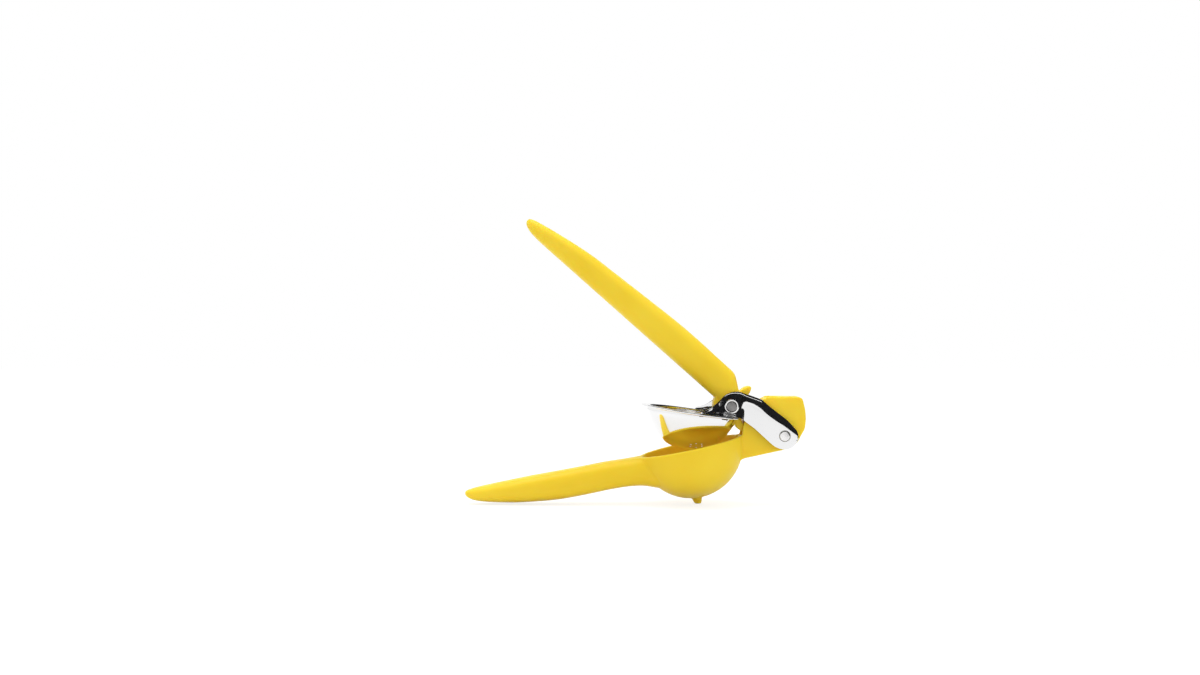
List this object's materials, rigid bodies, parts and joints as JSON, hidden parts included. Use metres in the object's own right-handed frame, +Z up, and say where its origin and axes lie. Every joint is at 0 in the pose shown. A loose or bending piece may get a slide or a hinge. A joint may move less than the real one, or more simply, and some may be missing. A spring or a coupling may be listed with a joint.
{
  "type": "hinged lemon squeezer",
  "caption": "Two-lever citrus squeezer: a round bowl on a yellow handle, a polished press cup on hinged arms, and geared levers.",
  "frame": {"origin": "tip of the foot under the bowl, on the table", "axes": "+Z up from the table; the handles point along -X and the hinge is at +X; +Y across, along the hinge pins"},
  "size_m": [0.2714, 0.084, 0.2275],
  "materials": {
    "yellow_nylon": "satin moulded nylon",
    "polished_steel": "mirror polished stainless steel",
    "pin_steel": "turned, lightly brushed",
    "spacer_nylon": "natural nylon"
  },
  "bodies": {
    "lower": {"lower_body": "yellow_nylon"},
    "press": {"side_arm_near": "polished_steel", "side_arm_far": "polished_steel", "press_cup": "polished_steel", "front_pin": "pin_steel", "rear_pin": "pin_steel", "front_collar_near": "pin_steel", "front_collar_far": "pin_steel", "front_spacer_near": "spacer_nylon", "front_spacer_far": "spacer_nylon", "rear_spacer_near": "spacer_nylon", "rear_spacer_far": "spacer_nylon"},
    "upper": {"upper_handle": "yellow_nylon"}
  },
  "joints": [
    {"name": "press_pivot", "type": "hinge", "parent": "lower", "child": "press", "pos_m": [0.06726, 0, 0.05516], "axis": [0, 1, 0], "range_deg": [-20.5, 24]},
    {"name": "handle_pivot", "type": "hinge", "parent": "press", "child": "upper", "pos_m": [0.02527, 0, 0.07863], "axis": [0, 1, 0], "range_deg": [-32.8, 38.4]}
  ],
  "couplings": [
    {"joint": "handle_pivot", "follows": "press_pivot", "ratio": 1.6}
  ]
}
